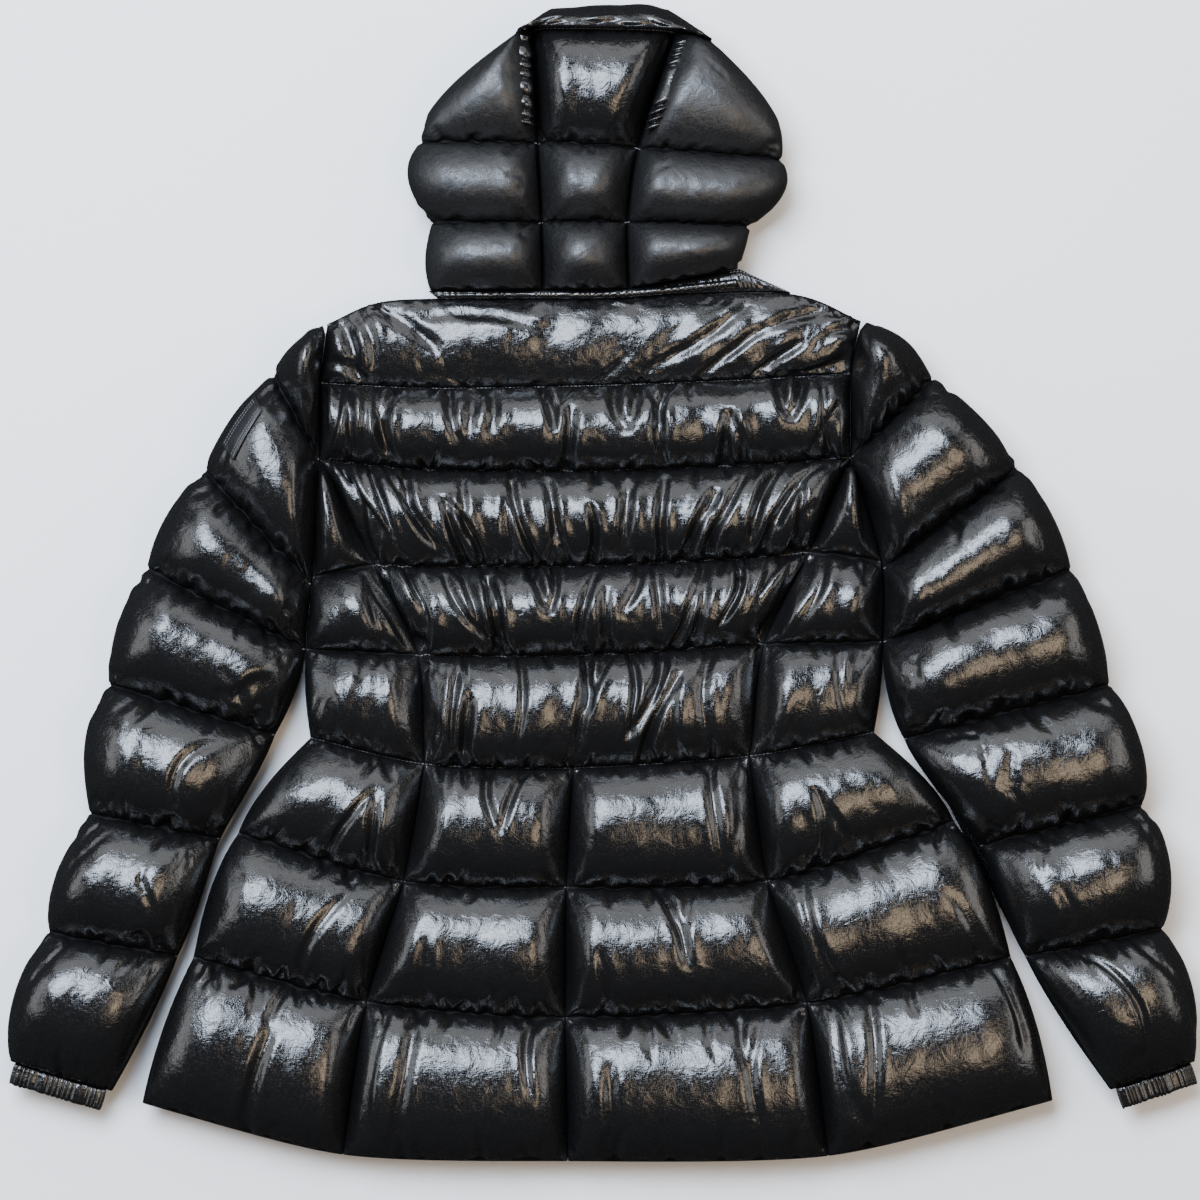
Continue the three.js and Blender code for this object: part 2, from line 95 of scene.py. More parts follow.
studio_lights = [
    # name, place, width, height, watts, colour; each is aimed at the jacket's middle
    ("window", (-0.8, 1.1, 2.5), 1.9, 1.4, 210, (0.74, 0.84, 1.0)),
    ("warm_lamp", (0.95, -0.4, 2.4), 1.5, 0.9, 25, (1.0, 0.78, 0.55)),
    ("far_wall", (0.0, 3.0, 1.6), 5.0, 2.0, 75, (0.95, 0.97, 1.0)),
    ("left_wall", (-3.0, 0.5, 1.6), 3.0, 1.6, 42, (0.95, 0.97, 1.0)),
    ("right_wall", (3.0, 0.5, 1.6), 3.0, 1.6, 42, (1.0, 0.95, 0.9)),
]
for light_name, place, width, height, watts, colour in studio_lights:
    light_data = bpy.data.lights.new(light_name, "AREA")
    light_data.shape = "RECTANGLE"
    light_data.size = width
    light_data.size_y = height
    light_data.energy = watts
    light_data.color = colour
    light = bpy.data.objects.new(light_name, light_data)
    light.location = place
    light.rotation_euler = (-Vector(place)).to_track_quat("-Z", "Y").to_euler()
    bpy.context.scene.collection.objects.link(light)
studio_air = bpy.data.worlds.new("studio_air")
studio_air.use_nodes = True
studio_air.node_tree.nodes["Background"].inputs["Color"].default_value = (0.95, 0.97, 1.0, 1)
studio_air.node_tree.nodes["Background"].inputs["Strength"].default_value = 0.05
bpy.context.scene.world = studio_air

# The shell: thin black nylon, laminated to a high gloss. It crinkles like foil between the larger
# wrinkles, and it puckers finely where it is gathered into the stitching. On its UV map, U runs
# along the lines of quilting in metres and V counts the lines.
shell, weave, gloss = new_material("glossy_nylon", (0.006, 0.006, 0.0062))
gloss.inputs["IOR"].default_value = 1.62


def add_node(tree, kind, setting=None, **inputs):
    """A node of one kind, with its named or numbered inputs set or linked."""
    node = tree.nodes.new(kind)
    if setting:
        node.operation = setting
    for key, value in inputs.items():
        numbered = key[0] == "i" and key[1:].isdigit()
        socket = node.inputs[int(key[1:])] if numbered else node.inputs[key.replace("_", " ")]
        if isinstance(value, bpy.types.NodeSocket):
            tree.links.new(value, socket)
        else:
            socket.default_value = value
    return node


def crinkle(tree, coordinates, scale, detail, distortion, depth, below=None, share=None):
    """Bump from one size of crinkle, laid over the bump below it, where share lets it through."""
    texture = add_node(
        tree, "ShaderNodeTexNoise", Vector=coordinates, Scale=scale, Detail=detail, Distortion=distortion
    )
    height = texture.outputs["Fac"]
    if share:
        height = add_node(tree, "ShaderNodeMath", "MULTIPLY", i0=height, i1=share).outputs[0]
    bump = add_node(tree, "ShaderNodeBump", Height=height, Strength=1.0, Distance=depth)
    if below:
        tree.links.new(below, bump.inputs["Normal"])
    return bump.outputs["Normal"]


place_on_jacket = add_node(weave, "ShaderNodeTexCoord").outputs["Object"]
place_on_cloth = add_node(weave, "ShaderNodeUVMap").outputs["UV"]
cloth_axes = add_node(weave, "ShaderNodeSeparateXYZ", Vector=place_on_cloth)
from_line = add_node(weave, "ShaderNodeMath", "PINGPONG", i0=cloth_axes.outputs["Y"], i1=0.5)
pucker_share = add_node(
    weave, "ShaderNodeMapRange", Value=from_line.outputs[0], From_Min=0.0, From_Max=0.13,
    To_Min=1.0, To_Max=0.0,
)
drawn_out = add_node(weave, "ShaderNodeMath", "MULTIPLY", i0=cloth_axes.outputs["Y"], i1=0.006)
pucker_place = add_node(weave, "ShaderNodeCombineXYZ", X=cloth_axes.outputs["X"], Y=drawn_out.outputs[0])
surface = crinkle(weave, place_on_jacket, scale=90, detail=3, distortion=1.4, depth=0.0005)
surface = crinkle(
    weave, pucker_place.outputs[0], scale=230, detail=2, distortion=0.6, depth=0.0011,
    below=surface, share=pucker_share.outputs[0],
)
threads_per_metre = ((300, 1150, 700), (1150, 300, 700))
slubs = []
for drawn in threads_per_metre:
    spun = add_node(weave, "ShaderNodeMapping", Vector=place_on_jacket, Scale=drawn)
    slubs.append(add_node(
        weave, "ShaderNodeTexNoise", Vector=spun.outputs[0], Scale=1.0, Detail=2.0, Distortion=0.5
    ).outputs["Fac"])
grain = add_node(weave, "ShaderNodeMath", "MULTIPLY", i0=slubs[0], i1=slubs[1])
dullness = add_node(
    weave, "ShaderNodeMapRange", Value=grain.outputs[0], From_Min=0.17, From_Max=0.34,
    To_Min=0.1, To_Max=0.29,
)
dullness.name = "dullness"
weave.links.new(dullness.outputs[0], gloss.inputs["Roughness"])
surface = add_node(
    weave, "ShaderNodeBump", Height=grain.outputs[0], Strength=1.0, Distance=0.0002, Normal=surface
).outputs["Normal"]
weave.links.new(surface, gloss.inputs["Normal"])

# The hood is less taut than the body, so its nylon shines more softly. Along the stitching the
# cloth is painted darker and barely reflects: painted shade for the narrow cracks between the puffs.
slack_shell = shell.copy()
slack_shell.name = "slack_nylon"
slack_dullness = slack_shell.node_tree.nodes["dullness"]
slack_dullness.inputs["To Min"].default_value = 0.38
slack_dullness.inputs["To Max"].default_value = 0.54
seam_shade, seam_shade_nodes, dull = new_material("painted_seam_shade", (0.004, 0.004, 0.0045), roughness=0.6)
dull.inputs["Specular IOR Level"].default_value = 0.12
seam_shade_place = add_node(seam_shade_nodes, "ShaderNodeTexCoord").outputs["Object"]
seam_shade_surface = crinkle(seam_shade_nodes, seam_shade_place, scale=400, detail=2, distortion=1.0, depth=0.0004)
seam_shade_nodes.links.new(seam_shade_surface, dull.inputs["Normal"])

# Where the lines of quilting run over the body, numbered from the neck, 0, to the hem. Each row gives
# the places where one crosses the panels' edges, in millimetres from the layout's own origin. L is
# the wearer's left. The upper and lower layers meet at the middle height.
chest, armpit, waist, hem = 2, 4, 5, 8
layout_origin = np.array([-0.854, -1.244])
middle_height = 24.0
seam_gap = 0.3
seam_thickness = 4.0
fold_lip = 1.2
seam_rise = 30.0
fold_rise = 42.0
swell_reach = 60
shoulder_power = 2.4
crown_power = 0.6
curve_slack = 0.8
upper_lines = [
    # side L, centre panel's edge L, quarter L, middle, quarter R, edge R, side R
    ((-209, 198), (-209, 198), (-158, 216), (-9, 217), (140, 221), (197, 200), (197, 200)),
    ((-214, 153), (-214, 153), (-131, 149), (-9, 151), (101, 155), (189, 160), (189, 160)),
    ((-214, 94), (-214, 94), (-128, 87), (-9, 86), (104, 90), (189, 96), (189, 96)),
    ((-220, 5), (-173, 14), (-95, 13), (-9, 14), (80, 18), (157, 24), (212, 17)),
    ((-225, -50), (-140, -54), (-75, -55), (-11, -54), (60, -50), (123, -46), (213, -44)),
]
skirt_lines = [
    # side L, seam L, middle, seam R, side R, from the waist to the hem
    ((-222, -117), (-135, -137), (-22, -140), (112, -131), (207, -113)),
    ((-277, -190), (-151, -226), (-27, -231), (126, -226), (268, -181)),
    ((-311, -284), (-179, -318), (-28, -330), (156, -319), (311, -284)),
    ((-350, -395), (-197, -434), (-26, -439), (172, -435), (343, -393)),
]


def through(points, t):
    """The smooth curve through evenly numbered points, at each t counted in points."""
    points = np.asarray(points, float)
    last = len(points) - 1
    i = np.clip(np.floor(t).astype(int), 0, last - 1)
    f = (t - i)[:, None]
    own = np.arange(len(t))
    pick = (lambda k: points[k]) if points.ndim == 2 else (lambda k: points[k, own])
    a, b = pick(i), pick(i + 1)
    before = np.where((i > 0)[:, None], pick(np.maximum(i - 1, 0)), 2 * a - b)
    after = np.where((i + 1 < last)[:, None], pick(np.minimum(i + 2, last)), 2 * b - a)
    out, into = curve_slack * (b - before) / 2, curve_slack * (after - a) / 2
    return (
        a * (2 * f**3 - 3 * f**2 + 1) + out * (f**3 - 2 * f**2 + f)
        + b * (3 * f**2 - 2 * f**3) + into * (f**3 - f**2)
    )


def down_body(points, v):
    """The same down the body, whose seams turn a corner at the chest."""
    above = through(points[: chest + 1], np.minimum(v, chest))
    below = through(points[chest:], np.maximum(v - chest, 0))
    return np.where((v <= chest)[:, None], above, below)


def apart(a, b):
    """The distance from each point of a to its partner in b."""
    return np.linalg.norm(a - b, axis=1)


def risen(d, reach, fold):
    """How far the padding has risen at a distance from a seam, or where fold is 1 from a fold."""
    share = 1 - np.clip(d / reach, 0, 1)
    return (1 - fold) * (1 - share**shoulder_power) + fold * np.sqrt(np.clip(1 - share**2, 0, 1))


def panel_plan(rows, first, last, inset=(0, 0), bulge=(0, 0), down=through):
    """A panel's place on the table, (u, v) -> x, y, from the curves of its lines."""

    def raw(u, v):
        return down(np.stack([row(u) for row in rows]), v)

    def plan(u, v):
        step = 0.01
        above = np.clip(v, first, last - step)
        half = np.full_like(v, 0.5)
        along = seam_gap / 2 * step / apart(raw(half, above), raw(half, above + step))
        kept = np.clip(v, first + along, last - along)
        a, b = raw(half * 0, kept), raw(half * 2, kept)
        width = apart(a, b)
        start = (seam_gap / 2 + inset[0]) * step / apart(a, raw(half * 0 + step, kept))
        end = (seam_gap / 2 + inset[1]) * step / apart(raw(half * 2 - step, kept), b)
        point = raw(start + (1 - end - start) * u, kept)
        swell = np.sin(np.pi * (v - np.floor(v)))
        swells = [(size(v) if callable(size) else size) * swell for size in bulge]
        from_start, from_end = risen(u * width, swell_reach, 0), risen((1 - u) * width, swell_reach, 0)
        push = swells[1] * (1 - from_end) - swells[0] * (1 - from_start)
        return point + (push / width)[:, None] * (b - a)

    return plan


def padding(plan, loft, edges=(0, 0), valley=seam_thickness, below=False):
    """A padded layer's outer skin over its plan, (u, v) -> x, y, z."""

    def skin(u, v):
        width = apart(plan(u * 0, v), plan(u * 0 + 1, v))
        folds = [edge(v) if callable(edge) else np.full_like(v, edge) for edge in edges]
        rises = []
        for side, fold in enumerate(folds):
            d = ((1 - u) if side else u) * width
            near, far = np.minimum(seam_rise, width / 2), np.minimum(fold_rise, width / 2)
            rises.append((1 - fold) * risen(d, near, 0) + fold * risen(d, far, 1))
        edge_height = np.minimum(*[
            seam_thickness + (fold_lip - seam_thickness) * fold * (1 - rise)
            for rise, fold in zip(rises, folds)
        ])
        full = np.clip(np.sin(np.pi * (v - np.floor(v))), 0, 1) ** crown_power
        height = edge_height + rises[0] * rises[1] * (valley - seam_thickness + loft * full)
        sign = -1 if below else 1
        z = middle_height + sign * (seam_gap / 2 + height)
        return np.column_stack([plan(u, v), np.maximum(z, 0)])

    return skin


# Each panel of the back is cut larger than its place and gathered into its seams, so that the down
# swells between them and the cloth folds. It starts as a lightly filled sheet, creased where its
# gathers fall, and is held at every line of stitching.
down_panels = []
quilting = []
quilting_depth = 2.4
rows_closer = 0.45
deepest = (-4, 8)
uneven_cloth_height = 0.6
uneven_stitch_height = 0.8
uneven_stitch_line = 2.0


def laid_grid(name, across, along):
    """A flat grid, with the share across and along of each vertex, and the vertices in rows."""
    bm = bmesh.new()
    bm.loops.layers.uv.new("UVMap")
    bmesh.ops.create_grid(bm, x_segments=across, y_segments=along, size=0.5)
    mesh = bpy.data.meshes.new(name)
    bm.to_mesh(mesh)
    bm.free()
    flat = np.empty(len(mesh.vertices) * 3)
    mesh.vertices.foreach_get("co", flat)
    share = np.clip(flat.reshape(-1, 3)[:, :2] + 0.5, 0, 1)
    order = np.lexsort((np.round(share[:, 0] * across), np.round(share[:, 1] * along)))
    return mesh, share, order.reshape(along + 1, across + 1)


def lay_cloth_map(mesh, per_vertex):
    """Sets the UV map of a mesh from a place on the cloth for each of its vertices."""
    corners = np.empty(len(mesh.loops), dtype=np.int32)
    mesh.loops.foreach_get("vertex_index", corners)
    mesh.uv_layers["UVMap"].data.foreach_set("uv", per_vertex[corners].astype(np.float32).ravel())


def gathers(draw, rulers, folds, pleats):
    """The creases of a panel, (u, v) to (u, v): folds from line to line, and pleats out of each line."""
    found = []
    lines = sorted(rulers)
    fold_skew, pleat_skew = 0.9, 0.6
    forked_folds, forked_pleats, folds_down = 0.6, 0.5, 0.6

    def across_at(line, count, k, spread):
        """Place k of count along a line, evenly spaced over the cloth, give or take the spread."""
        ruler = rulers[line]
        at = np.clip(k + 0.5 + draw.uniform(-spread, spread), 0, count) / count
        return np.interp(at * ruler[-1], ruler, np.linspace(0, 1, len(ruler)))

    if folds:
        pitch, size, depth = folds
        for line in lines[:-1]:
            width = rulers[line][-1]
            count = max(1, int(width / pitch))
            for k in range(count):
                u = across_at(line, count, k, spread=0.45)
                way = 1 if draw.uniform() < folds_down else -1
                start = line if way > 0 else line + 1
                apex = start + way * draw.uniform(0.5, 0.98)
                is_forked = draw.uniform() < forked_folds
                for lean in ([-1, 1] if is_forked else [draw.uniform(-1, 1)]):
                    aside = lean * draw.uniform(6, 16) / width
                    fold_size = size * draw.uniform(0.7, 1.3)
                    fold_depth = depth * draw.uniform(0.4, 1.2)
                    found.append((u + aside, start, u, apex, fold_size, fold_depth, fold_skew))
    if pleats:
        pitch, size, depth, reach = pleats
        for line in lines:
            width = rulers[line][-1]
            count = max(1, int(width / pitch))
            for way in (-1, 1):
                if not lines[0] <= line + 0.5 * way <= lines[-1]:
                    continue
                for k in range(count):
                    u = across_at(line, count, k, spread=0.5)
                    strong = draw.uniform(0.3, 1.0) ** 2
                    is_forked = draw.uniform() < forked_pleats
                    for lean in ([-1, 1] if is_forked else [draw.uniform(-1, 1)]):
                        tip = line + way * (reach * draw.uniform(0.5, 1.2) * (0.5 + strong))
                        aside = lean * draw.uniform(3, 9) * (0.4 + strong) / width
                        pleat_size = size * draw.uniform(0.6, 1.1)
                        pleat_depth = depth * (0.4 + strong)
                        found.append((u, line, u + aside, tip, pleat_size, pleat_depth, pleat_skew))
    return found


def crease_depths(draw, found, run, drop, column_row):
    """How deep the creases press each vertex in, from distances across and down the cloth."""
    most_bow, lip, spread = 0.12, 0.8, 1.5
    sunk = np.zeros(run.shape)
    for u0, v0, u1, v1, size, depth, skew in found:
        (x0, y0), (x1, y1) = (
            (run[row, column], drop[row, column])
            for column, row in (column_row(u0, v0), column_row(u1, v1))
        )
        length = (x1 - x0) ** 2 + (y1 - y0) ** 2 + 1e-6
        t = np.clip(((run - x0) * (x1 - x0) + (drop - y0) * (y1 - y0)) / length, 0, 1)
        bow = draw.uniform(-most_bow, most_bow) * np.sin(np.pi * t)
        aside = run - x0 - t * (x1 - x0) - bow * (y1 - y0)
        away = (aside**2 + (drop - y0 - t * (y1 - y0) + bow * (x1 - x0)) ** 2) / size**2
        fading = np.sin(np.pi * t**skew) ** 0.6
        sunk += depth * fading * (1 - lip * away) * np.exp(-away / spread)
    return np.clip(sunk, *deepest)


def chamber_waves(run, v, wave_length, panel_number):
    """Long soft waves, unlike from chamber to chamber, which fade out at the lines."""
    along, down, chambers_apart = 1.8, 1.3, 7.3
    waves = [
        noise.noise(Vector((x, down * w, chambers_apart * np.floor(w + 1e-6) + panel_number)))
        for x, w in zip(run.ravel() / wave_length * along, v.ravel())
    ]
    return np.reshape(waves, run.shape) * np.sin(np.pi * (v - np.floor(v))) ** 0.5


def unevenness(place):
    """How far each place lies off, as noise from -1 to 1: in height, and down the body."""
    broad, small, sideways = 0.09, 0.23, 0.14
    off = []
    for spot in map(Vector, place.reshape(-1, 3)):
        height = noise.noise(spot * broad) + 0.5 * noise.noise(spot * small)
        off.append((height, noise.noise(spot * sideways)))
    off = np.reshape(off, (*place.shape[:2], 2))
    return off[..., 0], off[..., 1]


def held_by_stitches(panel, grid, held, cut, fine):
    """The cloth simulation of a panel: pinned where it is held, filled by an even pressure."""
    group = panel.vertex_groups.new(name="sewn")
    group.add([int(k) for k in grid[held]], 1.0, "REPLACE")
    filling = panel.modifiers.new("filling", "CLOTH").settings
    filling.quality = 5
    filling.mass = 0.15
    filling.air_damping = 4
    filling.use_pressure = True
    filling.uniform_pressure_force = 4
    filling.vertex_group_mass = "sewn"
    filling.rest_shape_key = cut
    filling.tension_stiffness = 15
    filling.compression_stiffness = 15
    filling.shear_stiffness = 5
    filling.bending_stiffness = 0.5 if fine else 0.3
    filling.effector_weights.gravity = 0


def sew_panel(
    name, skin, chambers, across, rows, gather=(0.1, 0.03), ease=0.06, folds=None,
    pleats=(15, 3.4, 2.0, 0.2), waves=(40, 1.2), creases=(), stitched_edges=(), fine=False,
    cloth=shell, swell=None,
):
    """A sheet laid out by skin over chambers (first, last), held at its stitching, ready to be filled.

    It has so many vertices across and rows a chamber. Gather is the share of extra width at the
    lines and between them, and ease the extra length. Folds are (pitch, size, depth), pleats (pitch,
    size, depth, reach), waves (length, height) and creases (u, v, u, v, size, depth), with sizes in
    millimetres. With swell the cut isn't flat, but the laid shape, larger by that share. A fine
    sheet has vertices enough, and the others are smoothed once filled.
    """
    first, last = chambers
    lengthwise = int(round((last - first) * rows))
    mesh, share, grid = laid_grid(name, across, lengthwise)
    u, v = share[:, 0], first + share[:, 1] * (last - first)
    v = np.round(v * rows) / rows
    on_line = np.abs(v - np.round(v)) < 0.25 / rows
    closer = np.where(v >= np.ceil(first), rows_closer, 0)
    v = v - closer * np.sin(2 * np.pi * v) / (2 * np.pi)
    points = skin(u, v)
    place = np.column_stack([points[:, :2] + layout_origin, points[:, 2]])[grid]
    near = 1e-4
    on_rim = (v < first + near) | (v > last - near) | (u < near) | (u > 1 - near)
    held = (on_line | on_rim)[grid]

    # Distances over the cloth in millimetres, across and along, and the way out of it
    steps_across = np.linalg.norm(np.diff(place, axis=1), axis=2)
    steps_along = np.linalg.norm(np.diff(place, axis=0), axis=2)
    run = np.zeros(grid.shape)
    run[:, 1:] = np.cumsum(steps_across, axis=1)
    run -= run[:, -1:] / 2
    drop = np.zeros(grid.shape)
    drop[1:] = np.cumsum(steps_along, axis=0)
    outward = np.cross(np.gradient(place, axis=1), np.gradient(place, axis=0))
    outward /= np.linalg.norm(outward, axis=2, keepdims=True) + 1e-9
    facing_out = np.sum(outward[..., 2] * np.sign(place[..., 2] - middle_height)) > 0
    if not facing_out:
        outward = -outward
        mesh.flip_normals()

    # The creases, laid by chance and as listed, with a chance of its own for each panel
    draw = np.random.default_rng(len(down_panels) + 11)
    lines = list(range(int(np.ceil(first)), int(last) + 1))
    rulers = {line: run[int(round((line - first) * rows))] for line in lines}
    rulers = {line: ruler - ruler[0] for line, ruler in rulers.items()}

    def column_row(u, v):
        column = int(np.clip(round(u * across), 0, across))
        return column, int(np.clip(round((v - first) * rows), 0, lengthwise))

    found = gathers(draw, rulers, folds, pleats) + [(*crease, 1.0) for crease in creases]
    sunk = crease_depths(draw, found, run, drop, column_row)

    wave_length, wave_height = waves
    v_rows = v[grid]
    raised = 2 * wave_height * chamber_waves(run, v_rows, wave_length, len(down_panels)) - sunk
    place += outward * np.where(held, 0, raised)[..., None]

    # Neither the cloth nor its stitching lies quite even, and the stitching is pulled in
    off_height, off_line = unevenness(place)
    is_free = ~on_rim[grid]
    place[..., 2] += np.where(held, uneven_stitch_height, uneven_cloth_height) * off_height * is_free
    place[..., 1] += np.where(held, uneven_stitch_line, 0.0) * off_line * is_free
    place -= outward * (quilting_depth * (on_line & ~on_rim)[grid])[..., None]
    for line in lines:
        if first < line < last or line in stitched_edges:
            row = int(round((line - first) * rows))
            quilting.append((place[row].copy(), outward[row].copy()))

    # The laid sheet, its map in metres along the lines, and its cut, larger by gather and ease
    flat = np.empty((len(mesh.vertices), 3))
    flat[grid] = place / 1000
    mesh.vertices.foreach_set("co", flat.ravel())
    on_cloth = np.empty((len(mesh.vertices), 2))
    on_cloth[grid, 0] = run / 1000
    on_cloth[:, 1] = v
    lay_cloth_map(mesh, on_cloth)
    mesh.update()
    panel = bpy.data.objects.new(name, mesh)
    bpy.context.scene.collection.objects.link(panel)
    panel.shape_key_add(name="laid")
    cut = panel.shape_key_add(name="cut")
    at_line = (1 - np.sin(np.pi * (v_rows - np.floor(v_rows)))) ** 2
    flat[grid, 0] = run * (1 + gather[1] + (gather[0] - gather[1]) * at_line) / 1000
    flat[grid, 1] = drop * (1 + ease) / 1000
    flat[:, 2] = 0
    if swell:
        flat[grid] = place * (1 + swell) / 1000
    cut.data.foreach_set("co", flat.ravel())
    held_by_stitches(panel, grid, held, cut, fine)
    # The cloth, and the painted seam shade for faces at the stitching and the rim: darker, barely
    # reflective
    mesh.materials.append(cloth)
    mesh.materials.append(seam_shade)
    is_held = np.zeros(len(mesh.vertices), bool)
    is_held[grid[held]] = True
    for face in mesh.polygons:
        face.material_index = int(any(is_held[vertex] for vertex in face.vertices))
    down_panels.append(panel)
    panel["fine"] = fine
    return panel


def body_curve(columns):
    """The curve of one line over some of the body's columns, u -> x, y."""
    return lambda u: through(columns, u * (len(columns) - 1))


def skirt_curve(first, last):
    """One curve for each line of the skirt, over the columns first to last."""
    return [lambda u, row=row: through(row, first + (last - first) * u) for row in skirt_lines]


centre_rows = [body_curve(row[1:6]) for row in upper_lines] + skirt_curve(1, 3)[:1]
centre_creases = [
    # (u, v) to (u, v), width and depth: the long folds beside the left shoulder, and a few strong ones
    (0.055, 1.0, 0.07, 2.0, 5, 5), (0.06, 2.0, 0.04, 3.0, 5, 5), (0.11, 1.0, 0.10, 1.8, 4, 4),
    (0.03, 2.1, 0.09, 2.9, 4, 4), (0.52, 3.1, 0.47, 3.9, 4, 4), (0.3, 2.1, 0.24, 2.8, 4, 3.5),
    (0.78, 2.1, 0.73, 2.9, 4, 4), (0.64, 3.1, 0.69, 3.8, 4, 3.5), (0.16, 3.1, 0.22, 3.8, 4, 3.5),
    (0.5, 4.05, 0.5, 4.95, 5, 4), (0.93, 1.1, 0.9, 1.9, 4, 4), (0.95, 2.1, 0.9, 2.8, 4, 4),
]
skin = padding(panel_plan(centre_rows, 1, waist, down=down_body), 28)
back_centre = sew_panel(
    "back_centre_down", skin, (1, waist), 230, 38, gather=(0.1, 0.03), ease=0.11,
    folds=(34, 4.4, 6.5), pleats=(24, 3.0, 2.4, 0.24), waves=(48, 2.0), creases=centre_creases,
    fine=True,
)
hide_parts("back_centre")
yoke_creases = [
    # the same for the yoke: creases that swoop in from both of its ends
    (0.05, 0.05, 0.09, 0.95, 6, 5), (0.12, 0.05, 0.14, 0.7, 5, 4), (0.02, 0.6, 0.12, 0.95, 4, 3),
    (0.19, 0.1, 0.3, 0.6, 6, 3), (0.27, 0.3, 0.45, 0.45, 5, 2), (0.58, 0.8, 0.7, 0.2, 6, 3),
    (0.67, 0.95, 0.75, 0.4, 5, 3.5), (0.74, 0.5, 0.9, 0.1, 5, 3), (0.79, 0.9, 0.86, 0.5, 4, 4),
    (0.86, 0.95, 0.99, 0.6, 5, 4), (0.9, 0.4, 0.99, 0.2, 4, 3), (0.5, 0.95, 0.56, 0.6, 4, 2.5),
]
skin = padding(panel_plan(centre_rows, 0, 1, down=down_body), 13)
back_yoke = sew_panel(
    "back_yoke_down", skin, (0, 1), 230, 44, gather=(0.06, 0.02), ease=0.03,
    pleats=(16, 2.8, 1.6, 0.16), waves=(45, 1.6), creases=yoke_creases, stitched_edges=(1,),
    fine=True,
)
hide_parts("back_yoke")

# The side backs: narrow wedges from a point on each armhole to the waist. Down to the armpit they
# are sewn to the sleeve, and below it the cloth folds under there to the front.
side_back_start = 2.12
fold_begins_over = 0.3


def is_fold(v, start):
    """1 where an edge is a fold and 0 where it is a seam, which turns into the fold at start."""
    return np.clip((v - start) / fold_begins_over + 0.5, 0, 1)


for side, outer_column, edge_column in (("L", 0, 1), ("R", 6, 5)):
    rows = [body_curve([row[outer_column], row[edge_column]]) for row in upper_lines]
    rows += skirt_curve(0, 1)[:1] if side == "L" else skirt_curve(4, 3)[:1]
    bulge = (lambda v: np.where(v > armpit, 2, 0), 0)
    plan = panel_plan(rows, side_back_start, waist, bulge=bulge, down=down_body)
    skin = padding(plan, 25, edges=(lambda v: is_fold(v, armpit), 0))
    piece = sew_panel(
        f"back_side_{side}_down", skin, (side_back_start, waist), 34, 25, gather=(0.1, 0.03), ease=0.09,
        folds=(40, 4.5, 3.0), pleats=(17, 3.4, 2.2, 0.25), waves=(30, 1.8),
    )
    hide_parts(f"back_side_{side}")

# The skirt: four flared gores below the waist seam, fuller and smoother than the back.
gores = ["skirt_side_L", "skirt_mid_L", "skirt_mid_R", "skirt_side_R"]
for k, name in enumerate(gores):
    plan = panel_plan(skirt_curve(k, k + 1), 0, 3, bulge=(4 if k == 0 else 0, 4 if k == 3 else 0))
    skin = padding(plan, 32, edges=(1 if k == 0 else 0, 1 if k == 3 else 0))
    piece = sew_panel(
        name + "_down", skin, (0, 3), 58, 32, gather=(0.1, 0.02), ease=0.09, folds=(70, 4.5, 4.5),
        pleats=(16, 3.6, 3.0, 0.22), waves=(75, 1.2), stitched_edges=(0,),
    )
    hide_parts(name)

# The fronts lie underneath, so only their rims and undersides ever show. They rest flat, and leave
# room for the zip between them.
zip_half_width = 5
for side in ("L", "R"):
    upper_rows = []
    for row in upper_lines:
        columns = row[:4] if side == "L" else row[:2:-1]
        upper_rows.append([p for k, p in enumerate(columns) if k == 0 or p != columns[k - 1]])
    rows = [body_curve(columns) for columns in upper_rows]
    rows += skirt_curve(0, 2) if side == "L" else skirt_curve(4, 2)
    bulge = (lambda v: np.where(v > waist, 4, np.where(v > armpit, 2, 0)), 0)
    plan = panel_plan(rows, 0, hem, inset=(0, zip_half_width), bulge=bulge, down=down_body)
    skin = padding(plan, 30, edges=(lambda v: is_fold(v, armpit), 0), below=True)
    piece = sew_panel(f"front_{side}_down", skin, (0, hem), 34, 12, gather=(0.04, 0.03), ease=0.03)
    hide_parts(f"front_{side}")

# The sleeves: each a padded tube in seven chambers, sewn to the armhole down to the armpit and
# closed by an underarm seam from there to the cuff. Three fifths of the way round lie on top.
sleeve_lines = {
    # outer point, place down the armhole in body lines or inner point, swell past the outer edge
    "L": [
        ((-212, 197), 0.2, 5), ((-250, 161), 2, 5), ((-303, 88), 3.1, 5), ((-347, 13), 4, 6),
        ((-377, -75), (-249, -115), 11), ((-391, -174), (-291, -194), 11), ((-423, -264), (-323, -283), 11),
        ((-451, -363), (-373, -386), 0),
    ],
    "R": [
        ((200, 199), 0.2, 7), ((252, 157), 2, 3), ((317, 90), 3.1, 5), ((358, 12), 4, 6),
        ((388, -76), (230, -118), 9), ((414, -166), (288, -199), 11), ((428, -261), (322, -283), 11),
        ((452, -363), (387, -385), 0),
    ],
}
sleeve_end = 7
lowest_sleeve_line = 3
sleeve_clear = 0.6
share_on_top = 0.6
valley_at_cuff = 5


